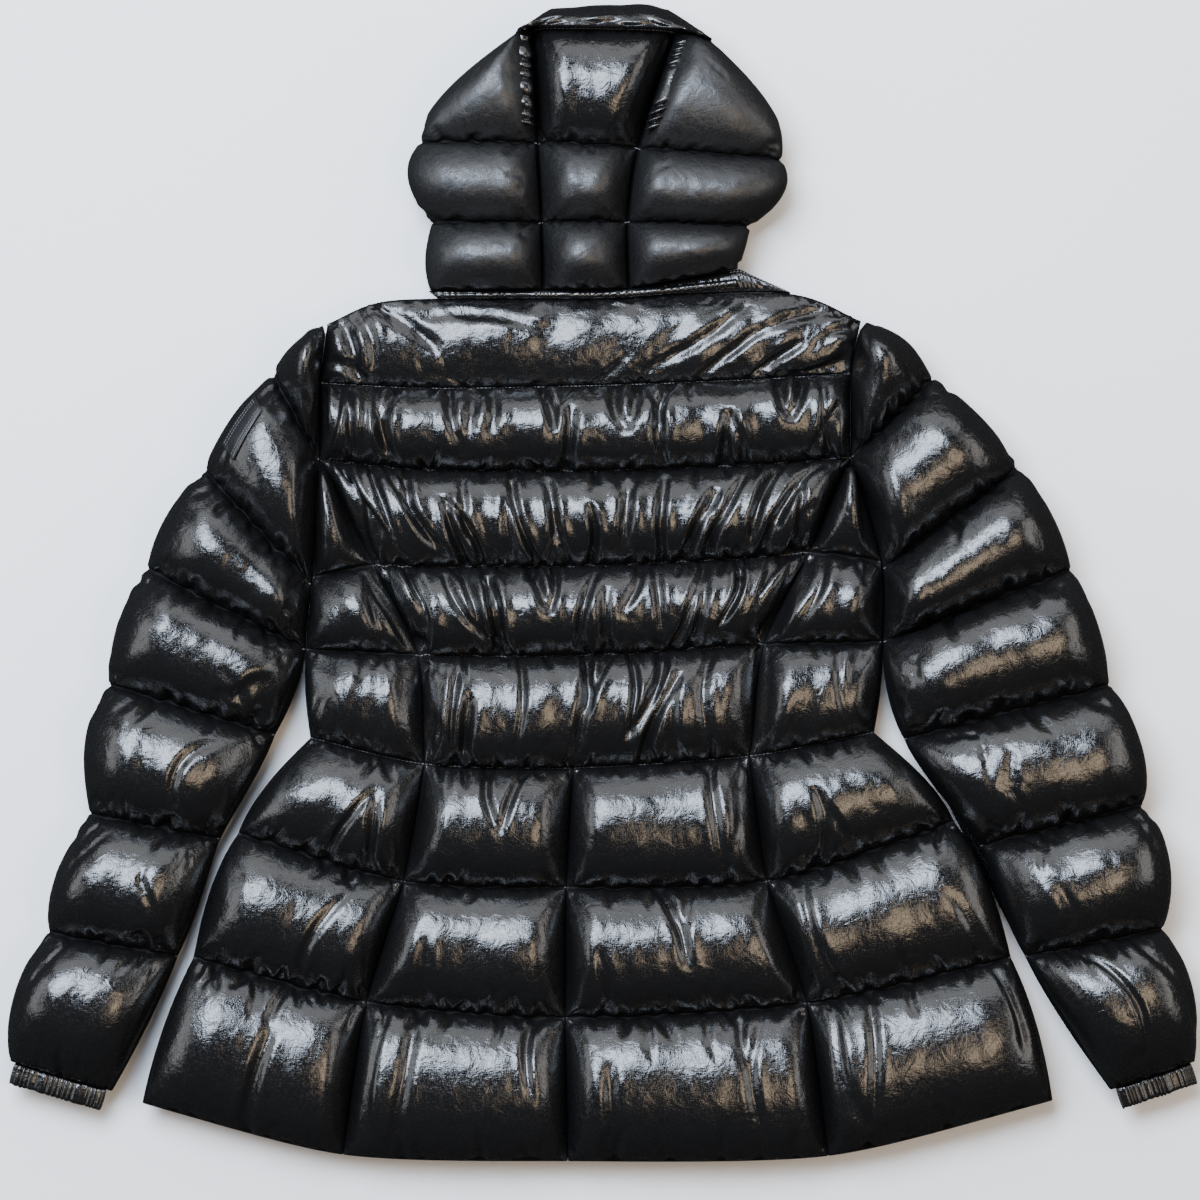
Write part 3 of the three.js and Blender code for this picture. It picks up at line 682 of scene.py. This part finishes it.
def sleeve_plan(side):
    """A sleeve's place on the table, u from its outer edge to its inner one."""
    lines = sleeve_lines[side]
    gap_closes_over = 0.4
    clear_of_neck, clear_of_cuff = 0.004, 0.003
    outward = -1 if side == "L" else 1
    column = 0 if side == "L" else 6
    waist_point = skirt_lines[0][0 if side == "L" else -1]
    armhole_points = np.array([row[column] for row in upper_lines] + [waist_point], float)

    def armhole(t):
        return down_body(armhole_points, np.asarray(t, float))

    outer_points = np.array([line[0] for line in lines], float)
    inner_points = np.array(
        [armhole([line[1]])[0] if np.isscalar(line[1]) else line[1] for line in lines], float
    )
    down_armhole = np.array([line[1] if np.isscalar(line[1]) else armpit for line in lines], float)
    bulges = np.array([line[2] for line in lines], float)

    def plan(u, v):
        kept = np.clip(v, clear_of_neck, sleeve_end - clear_of_cuff)
        chamber = np.minimum(np.floor(v).astype(int), sleeve_end - 1)
        a = through(outer_points, kept)
        t = down_armhole[chamber] + (down_armhole[chamber + 1] - down_armhole[chamber]) * (kept - chamber)
        b = np.where((kept < lowest_sleeve_line)[:, None], armhole(t), through(inner_points, kept))
        width = apart(a, b)
        swell = np.sin(np.pi * (v - chamber))
        gap = np.clip((lowest_sleeve_line + gap_closes_over - v) / gap_closes_over, 0, 1) * sleeve_clear
        start = -bulges[chamber] * swell
        end = np.where(v > lowest_sleeve_line, 2 * swell - gap, -seam_gap)
        share = (start + (width + end - start) * u) / width
        point = a + (b - a) * share[:, None]
        point[:, 0] += outward * gap
        return point

    return plan


def round_fold(w):
    """For places round a folded sheet: whether each is on top, and how far in from the outer fold."""
    top = w <= share_on_top
    return top, np.where(top, 1 - w / share_on_top, (w - share_on_top) / (1 - share_on_top))


def sleeve_skin(side):
    """Round the sleeve: w from the inner edge over the top to the outer fold, and back beneath."""
    plan = sleeve_plan(side)
    inner_edge = (1, lambda v: is_fold(v, lowest_sleeve_line))
    layers = []
    for below, loft, valley in ((False, 36, 12), (True, 30, 8)):
        layers.append([padding(plan, loft, inner_edge, at, below) for at in (valley, valley_at_cuff)])

    def skin(w, v):
        top, u = round_fold(w)
        to_cuff = (np.clip(v - sleeve_end + 1, 0, 1) ** 2)[:, None]
        upper, lower = (
            along(u, v) * (1 - to_cuff) + at_cuff(u, v) * to_cuff for along, at_cuff in layers
        )
        return np.where(top[:, None], upper, lower)

    return skin


for side in ("L", "R"):
    piece = sew_panel(
        f"sleeve_{side}_down", sleeve_skin(side), (0, sleeve_end), 84, 28, swell=0.055,
        pleats=(14, 3.6, 3.0, 0.24), waves=(62, 1.7),
    )
    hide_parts(f"sleeve_back_{side}", f"sleeve_front_{side}")

# The hood: a centre panel and two sides, which fold under to the closed face opening. Its nylon is
# slack but for the centre panel's top chamber, which is stretched to the same gloss as the body.
hood_lines = [
    # edge L, seam L, seam R, edge R, from the neck to the crown
    ((-132, 223), (-45, 224), (20, 225), (104, 240)),
    ((-131, 274), (-46, 275), (19, 275), (114, 272)),
    ((-140, 335), (-49, 335), (27, 331), (138, 322)),
    ((-66, 417), (-52, 421), (55, 419), (84, 412)),
]
hood_bulges = {"L": (5, 9, 13), "R": (2, 9, 14)}
hood_top = 3
face_opening = 1.5


def hood_rows(first, last):
    """One curve for each line of the hood, over the edges and seams first to last."""
    return [lambda u, row=row: through(row, first + (last - first) * u) for row in hood_lines]


centre_plan = panel_plan(hood_rows(1, 2), 0, hood_top)
piece = sew_panel(
    "hood_centre_down", padding(centre_plan, 30, valley=15), (0, hood_top), 44, 32,
    gather=(0.08, 0.01), ease=0.05, pleats=(14, 3.0, 2.0, 0.16), waves=(50, 0.8),
    stitched_edges=(hood_top,),
)
piece.data.materials.append(slack_shell)
for face in piece.data.polygons:
    is_low = face.center.y * 1000 - layout_origin[1] < hood_lines[2][1][1]
    if is_low and face.material_index == 0:
        face.material_index = 2
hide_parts("hood_centre")


def hood_side_skin(side):
    """Round a side: w from the seam over the top to the outer fold, and back beneath."""
    far = 0 if side == "L" else 3
    seam = 1 if side == "L" else 2

    def bulge(v):
        chamber = np.minimum(np.floor(v).astype(int), hood_top - 1)
        return np.array(hood_bulges[side])[chamber]

    top_plan = panel_plan(hood_rows(far, seam), 0, hood_top, bulge=(bulge, 0))
    under_plan = panel_plan(hood_rows(far, face_opening), 0, hood_top, inset=(0, 1), bulge=(bulge, 0))
    upper = padding(top_plan, 30, (1, 0), 15)
    lower = padding(under_plan, 30, (1, 0), 8, below=True)

    def skin(w, v):
        top, u = round_fold(w)
        return np.where(top[:, None], upper(u, v), lower(u, v))

    return skin


for side in ("L", "R"):
    piece = sew_panel(
        f"hood_side_{side}_down", hood_side_skin(side), (0, hood_top), 60, 34, swell=0.015,
        pleats=(12, 2.8, 2.6, 0.13), waves=(80, 0.3), cloth=slack_shell,
    )
    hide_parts(f"hood_side_{side}")

# The band round the face opening, which rolls over the crown in a smooth padded bolster. It is
# fullest in the middle and thins towards both ends.
band_ends = [(-38, 438), (-12, 441), (22, 442), (48, 438)]
band_clear = 0.6
band_thickness = (9, 26)


def crown_curve(u):
    """The hood's top line, where the band is sewn on."""
    return through(hood_lines[hood_top], 3 * u) + (0, band_clear)


band_plan = panel_plan([crown_curve, lambda u: through(band_ends, 3 * u)], 0, 1)


def band_skin(u, v):
    """Round the band: v from its upper seam over the roll to its lower one."""
    down_roll = 1 - np.abs(2 * v - 1)
    thin, more = band_thickness
    fullness = thin + more * np.sin(np.pi * (0.06 + 0.88 * u)) ** 0.5
    height = fullness * np.sqrt(np.maximum(0, 1 - down_roll**2)) * np.sign(0.5 - v)
    return np.column_stack([band_plan(u, down_roll), middle_height + height])


piece = sew_panel(
    "hood_band_down", band_skin, (0, 1), 72, 40, gather=(0.08, 0.02), ease=0.02,
    pleats=(10, 2.8, 2.4, 0.16),
)
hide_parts("hood_band")

# Filling: the down swells every chamber at once, until the shell is taut between its seams.
filling_frames = 30
for number in range(1, filling_frames + 1):
    bpy.context.scene.frame_set(number)
for panel in down_panels:
    if not panel["fine"]:
        smooth = panel.modifiers.new("smooth", "SUBSURF")
        smooth.levels = smooth.render_levels = 1
bpy.context.view_layer.update()
depsgraph = bpy.context.evaluated_depsgraph_get()
for panel in down_panels:
    filled = bpy.data.meshes.new_from_object(panel.evaluated_get(depsgraph))
    unfilled = panel.data
    panel.modifiers.clear()
    panel.shape_key_clear()
    panel.data = filled
    bpy.data.meshes.remove(unfilled)
    filled.name = panel.name

# Closing: each panel's back is plain lining on the middle of the jacket, where its layers meet. The
# jacket lies on the floor, so nothing goes below it.
lining_clear = 0.5
rim_clear = 0.15
for panel in down_panels:
    bm = bmesh.new()
    bm.from_mesh(panel.data)
    wrapped = panel.name.startswith(("sleeve", "hood_side", "hood_band"))
    below = panel.name.startswith("front")
    for vert in bm.verts:
        vert.co.z = max(0.0, vert.co.z)
        if not wrapped:
            lining = (middle_height + (-lining_clear if below else lining_clear)) / 1000
            vert.co.z = min(vert.co.z, lining) if below else max(vert.co.z, lining)
    rim = [edge for edge in bm.edges if edge.is_boundary]
    made = bmesh.ops.extrude_edge_only(bm, edges=rim)["geom"]
    for vert in [item for item in made if isinstance(item, bmesh.types.BMVert)]:
        above = vert.co.z > middle_height / 1000
        vert.co.z = (middle_height + (rim_clear if above else -rim_clear)) / 1000
    rim = [edge for edge in bm.edges if edge.is_boundary]
    bmesh.ops.contextual_create(bm, geom=rim)
    bmesh.ops.recalc_face_normals(bm, faces=bm.faces)
    for face in bm.faces:
        face.smooth = True
    bm.to_mesh(panel.data)
    bm.free()
    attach(panel, "root")

# Quilting thread: a line of lockstitches down every seam between two chambers.
thread, twist, yarn = new_material("sewing_thread", (0.09, 0.09, 0.093), roughness=0.6)
yarn_place = add_node(twist, "ShaderNodeTexCoord").outputs["Object"]
yarn_surface = crinkle(twist, yarn_place, scale=1800, detail=1, distortion=0.5, depth=0.0002)
twist.links.new(yarn_surface, yarn.inputs["Normal"])
stitch_pitch = 3.1
stitch_size = (2.2, 0.65, 0.5)


def add_piece(name, mesh, bm, material):
    """Fills a mesh from bm, and puts it on the jacket as a piece of one material."""
    bm.to_mesh(mesh)
    bm.free()
    mesh.materials.append(material)
    piece = bpy.data.objects.new(name, mesh)
    bpy.context.scene.collection.objects.link(piece)
    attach(piece, "root")
    return piece


def sew_stitches(name, runs, thread_material, pitch=stitch_pitch, size=stitch_size, lift=0.5):
    """Short bars of thread end to end along runs of (points, ways out), in millimetres."""
    bm = bmesh.new()
    for points, outward in runs:
        lengths = np.concatenate([[0], np.cumsum(np.linalg.norm(np.diff(points, axis=0), axis=1))])
        for at in np.arange(pitch / 2, lengths[-1], pitch):
            ends = [
                np.array([np.interp(at + d, lengths, points[:, k]) for k in range(3)])
                for d in (-size[0] / 2, size[0] / 2)
            ]
            up = Vector([np.interp(at, lengths, outward[:, k]) for k in range(3)])
            along = Vector(ends[1] - ends[0])
            if along.length < size[0] / 2:
                continue
            along.normalize()
            side = up.cross(along).normalized()
            up = along.cross(side)
            turn = Matrix((along * size[0], side * size[1], up * size[2])).transposed().to_4x4()
            middle = Vector((ends[0] + ends[1]) / 2) + up * lift
            matrix = Matrix.Scale(0.001, 4) @ Matrix.Translation(middle) @ turn
            bmesh.ops.create_cube(bm, size=1, matrix=matrix)
    bmesh.ops.recalc_face_normals(bm, faces=bm.faces)
    add_piece(name, bpy.data.meshes.new(name), bm, thread_material)


sew_stitches("quilting_stitches", quilting, thread)

# The collar: a low stand of the same nylon, gathered finely along its length, seen where it runs out
# at the right of the hood. Like the piping and the cuffs it is rolled into a narrow tube.
collar_height = 8
collar_start = 0.32
collar_reach = 0.44
collar_hood_end = 0.83
collar_tail = (143, 222)
collar_gather = 1.2
trim_map_size = (0.05, 0.5)


def roll_trim(name, around, along, skin, cloth):
    """A tube through skin(turn, share) in millimetres, closed round itself and at its ends."""
    mesh, share, _ = laid_grid(name, around, along)
    points = skin(share[:, 0], share[:, 1])
    place = np.column_stack([points[:, :2] + layout_origin, points[:, 2]]) / 1000
    mesh.vertices.foreach_set("co", place.ravel())
    lay_cloth_map(mesh, share * trim_map_size)
    bm = bmesh.new()
    bm.from_mesh(mesh)
    bmesh.ops.remove_doubles(bm, verts=bm.verts, dist=2e-6)
    bmesh.ops.holes_fill(bm, edges=[edge for edge in bm.edges if edge.is_boundary], sides=0)
    bmesh.ops.recalc_face_normals(bm, faces=bm.faces)
    for face in bm.faces:
        face.smooth = True
    return add_piece(name, mesh, bm, cloth)


def wavy(t, count, seed):
    """Uneven gathers along t, from 0 to 1, with sharp valleys."""
    most_shift, sharpness = 2.0, 0.7
    shift = np.array([noise.noise(Vector((x * count * 0.31, seed, 0))) for x in t])
    size = np.array([noise.noise(Vector((x * count * 0.4, seed, 5))) for x in t])
    waves = np.abs(np.cos(np.pi * (count * t + most_shift * shift))) ** sharpness
    return waves * (0.7 + 0.9 * size)


def flat_ring(turn, power=0.5):
    """A flattened ring: share across, 0 to 1 and back, and height, -1 to 1."""
    angle = 2 * np.pi * turn
    height = np.sign(np.sin(angle)) * np.abs(np.sin(angle)) ** power
    height[np.abs(np.sin(angle)) < 1e-9] = 0
    return 0.5 - np.cos(angle) / 2, height


def height_on(piece, flat):
    """The height of a filled piece above places in the layout, in millimetres."""
    well_above = 0.15
    heights = []
    for x, y in (flat + layout_origin) / 1000:
        _, spot, _, _ = piece.ray_cast(Vector((x, y, well_above)), Vector((0, 0, -1)))
        heights.append(spot.z * 1000)
    return np.array(heights)


def collar_plan(u, t):
    """Between the neck seam and the hood, t along the collar from its left end."""
    low = centre_rows[0](collar_start + collar_reach * t)
    inside = through(hood_lines[0], 3 * np.clip(t / collar_hood_end, 0, 1))
    past = np.clip((t - collar_hood_end) / (1 - collar_hood_end), 0, 1)[:, None]
    high = inside + (np.array(collar_tail) - hood_lines[0][3]) * past
    clear = seam_gap / apart(low, high)
    return low + (high - low) * (clear + (1 - 2 * clear) * u)[:, None]


def collar_skin(turn, t):
    """The collar, round its flattened section at each turn."""
    u, height = flat_ring(turn)
    gathered = collar_gather * (wavy(t, 46, 3) - 0.6) * np.maximum(height, 0)
    return np.column_stack([collar_plan(u, t), middle_height + collar_height * height + gathered])


collar = roll_trim("collar_band", 32, 420, collar_skin, shell)
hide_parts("collar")

# The piping: a thin gathered roll on top of the collar, sewn in along the bottom of the hood.
piping_radius = 2.7
piping_gather = 0.7
piping_up_collar = 0.42


def piping_skin(turn, t):
    """The piping, round its section at each turn."""
    angle = 2 * np.pi * turn
    radius = piping_radius + piping_gather * wavy(t, 38, 8)
    centre = collar_plan(np.full_like(t, piping_up_collar), 0.01 + 0.8 * t)
    y = centre[:, 1] + radius * np.cos(angle)
    return np.column_stack([centre[:, 0], y, middle_height + collar_height + radius * np.sin(angle)])


piping = roll_trim("neck_piping", 16, 420, piping_skin, shell)

# The ripples: beside the centre panel's top chamber the hood's sides are gathered hard into the
# seam. Each side has a row of glossy swellings there, on a tube half sunk into the side.
ripples_aside = 9
ripple_sunk = 2
for side, seam, way in (("L", 1, -1), ("R", 2, 1)):
    hood_side = bpy.data.objects[f"hood_side_{side}_down"]
    seam_start, seam_end = (np.array(hood_lines[line][seam], float) for line in (2, 3))

    def ripple_skin(turn, t):
        """Ripples along the seam, each a short swelling across a tube that lies on the side."""
        angle = 2 * np.pi * turn
        size = wavy(t, 7, 23 + seam) * np.clip(1.3 - 0.6 * t, 0, 1)
        flat = seam_start + (seam_end - seam_start) * (0.16 + 0.78 * t)[:, None]
        flat[:, 0] += way * ripples_aside
        rest = height_on(hood_side, flat)
        flat[:, 0] += (4.5 + 5 * size) * np.cos(angle)
        flat[:, 1] += 3 * size * np.cos(angle) * way
        return np.column_stack([flat, rest - ripple_sunk + (2 + 6 * size) * np.sin(angle)])

    ripples = roll_trim(f"hood_ripples_{side}", 20, 150, ripple_skin, shell)

# The cuffs: short rings of the same nylon, gathered on elastic and open at the wrist.
cuff_length = 17
cuff_thickness = 6.5
cuff_wall = 0.8
cuff_gather = 2.4
cuff_gather_seeds = {"L": 11, "R": 17}
for side in ("L", "R"):
    plan = sleeve_plan(side)
    ends = plan(np.array([0.0, 1.0]), np.array([sleeve_end, sleeve_end], float))
    width = np.linalg.norm(ends[1] - ends[0])
    run = (ends[1] - ends[0]) / width
    onward = np.array([run[1], -run[0]]) if side == "L" else np.array([-run[1], run[0]])

    def cuff_skin(wall, turn):
        """The ring's wall, rolled round its free end, at each turn round the wrist."""
        share, height = flat_ring(turn)
        lengthwise, skin_side = flat_ring(wall, 0.6)
        gathered = wavy(turn, 38, cuff_gather_seeds[side])
        outer = cuff_thickness - cuff_gather + cuff_gather * gathered
        layer = outer * (1 + skin_side) / 2 + cuff_wall * (1 - skin_side) / 2
        across = 4 + (width - 8) * (0.5 + (share - 0.5) * (0.97 + 0.03 * skin_side))
        forward = seam_gap + cuff_length * lengthwise - 1.2 * (1 - gathered) * lengthwise
        place = ends[0] + run * across[:, None] + onward * forward[:, None]
        return np.column_stack([place, middle_height + layer * height])

    cuff = roll_trim(f"cuff_{side}_gathered", 20, 456, cuff_skin, shell)
    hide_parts(f"cuff_{side}")

# The patch on the left sleeve: a small plain parallelogram, sewn on with two rows of stitches along
# each side. It is kept bare.
patch_cloth, twill, matte = new_material("patch_cloth", (0.01, 0.01, 0.011), roughness=0.36)
patch_place = add_node(twill, "ShaderNodeTexCoord").outputs["Object"]
patch_surface = crinkle(twill, patch_place, scale=140, detail=2, distortion=0.8, depth=0.0004)
patch_surface = crinkle(
    twill, patch_place, scale=1100, detail=1, distortion=0.4, depth=0.00015, below=patch_surface
)
twill.links.new(patch_surface, matte.inputs["Normal"])
patch_across = (0.06, 0.2)
patch_along = (1.28, 1.72)
patch_thickness = 2.2
left_plan = sleeve_plan("L")
left_sleeve = bpy.data.objects["sleeve_L_down"]


def on_patch(share, t):
    """Places across and along the patch in the layout, and the sleeve's height there."""
    u = patch_across[0] + (patch_across[1] - patch_across[0]) * share
    flat = left_plan(u, patch_along[0] + (patch_along[1] - patch_along[0]) * t)
    return flat, height_on(left_sleeve, flat)


def patch_skin(wall, t):
    """The patch's wall, over its top from side to side and back beneath."""
    share, height = flat_ring(wall, 0.25)
    flat, z = on_patch(share, t)
    return np.column_stack([flat, z + patch_thickness * (0.35 + 0.65 * height)])


patch = roll_trim("sleeve_patch_bare", 40, 40, patch_skin, patch_cloth)
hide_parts("sleeve_patch")
pale_thread = thread.copy()
pale_thread.name = "pale_thread"
pale_yarn = pale_thread.node_tree.nodes["Principled BSDF"]
pale_yarn.inputs["Base Color"].default_value = (0.11, 0.11, 0.113, 1)


def row_on_top(flat, height):
    """One run of stitches over places in the layout, whose thread lies on top."""
    return np.column_stack([flat + layout_origin, height]), np.tile([0.0, 0.0, 1.0], (len(flat), 1))


patch_rows = []
for share in (0.12, 0.25, 0.75, 0.88):
    t = np.linspace(0.06, 0.94, 30)
    flat, z = on_patch(np.full_like(t, share), t)
    patch_rows.append(row_on_top(flat, z + patch_thickness))
sew_stitches("patch_stitches", patch_rows, pale_thread, pitch=2.4, size=(1.3, 0.45, 0.35))

# Two rows of the same pale stitches run out along the collar's right end.
collar_rows = []
for u in (0.72, 0.9):
    t = np.linspace(0.8, 0.995, 40)
    crown = collar_height * np.sqrt(2 * np.sqrt(u * (1 - u))) + 0.5
    collar_rows.append(row_on_top(
        collar_plan(np.full_like(t, u), t), np.full_like(t, middle_height + crown)
    ))
sew_stitches("collar_stitches", collar_rows, pale_thread, pitch=2.6, size=(1.5, 0.6, 0.5), lift=0.5)

# The front zip, closed, in the gap between the fronts: a woven tape, two rows of teeth and a slider.
tape_cloth, ribs, tape_shade = new_material("zip_tape_weave", (0.014, 0.014, 0.015), roughness=0.7)
tape_place = add_node(ribs, "ShaderNodeTexCoord").outputs["Object"]
herringbone = add_node(ribs, "ShaderNodeTexWave", Vector=tape_place, Scale=500.0, Distortion=0.4)
rib_bump = add_node(
    ribs, "ShaderNodeBump", Height=herringbone.outputs["Fac"], Strength=1.0, Distance=0.0002
)
ribs.links.new(rib_bump.outputs["Normal"], tape_shade.inputs["Normal"])
zip_columns = [row[3] for row in upper_lines] + [row[2] for row in skirt_lines]
tape_top = middle_height - seam_gap / 2
tape_middle = tape_top - 1.2
tape_half_thickness = 0.6


def zip_place(v):
    """The middle of the zip at each of the body's lines, from the neck to the hem."""
    return down_body(np.array(zip_columns, float), np.clip(v, 0.03, 7.98))


def tape_skin(wall, t):
    """The tape's wall, from edge to edge over its top and back beneath."""
    share, height = flat_ring(wall, 0.2)
    flat = zip_place(hem * t)
    flat[:, 0] += (share - 0.5) * 2 * (zip_half_width - seam_gap / 2)
    return np.column_stack([flat, tape_middle + tape_half_thickness * height])


tape = roll_trim("zip_tape_cloth", 16, 160, tape_skin, tape_cloth)
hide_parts("zip_tape")

zip_metal, metal, polish = new_material("dark_zip_metal", (0.2, 0.2, 0.21), roughness=0.28)
polish.inputs["Metallic"].default_value = 1.0
metal_place = add_node(metal, "ShaderNodeTexCoord").outputs["Object"]
metal_surface = crinkle(metal, metal_place, scale=900, detail=2, distortion=0, depth=0.00005)
metal.links.new(metal_surface, polish.inputs["Normal"])
tooth_pitch = 2.4
tooth_aside = 0.7
tooth_below_tape = 2.4
tooth_size = (0.0026, 0.0009, 0.0012)
bm = bmesh.new()
zip_run = zip_place(np.linspace(0.05, 7.95, 400))
zip_lengths = np.concatenate([[0], np.cumsum(apart(zip_run[1:], zip_run[:-1]))])
for k, at in enumerate(np.arange(1, zip_lengths[-1], tooth_pitch / 2)):
    x = np.interp(at, zip_lengths, zip_run[:, 0]) + (tooth_aside if k % 2 else -tooth_aside)
    y = np.interp(at, zip_lengths, zip_run[:, 1])
    spot = Vector((x + layout_origin[0], y + layout_origin[1], tape_top - tooth_below_tape)) / 1000
    tooth = Matrix.Translation(spot) @ Matrix.Diagonal((*tooth_size, 1))
    bmesh.ops.create_cube(bm, size=1, matrix=tooth)
add_piece("zip_teeth", bpy.data.meshes.new("zip_teeth"), bm, zip_metal)
for material_slot in frame["nodes"]["zip_slider"].material_slots:
    material_slot.material = zip_metal
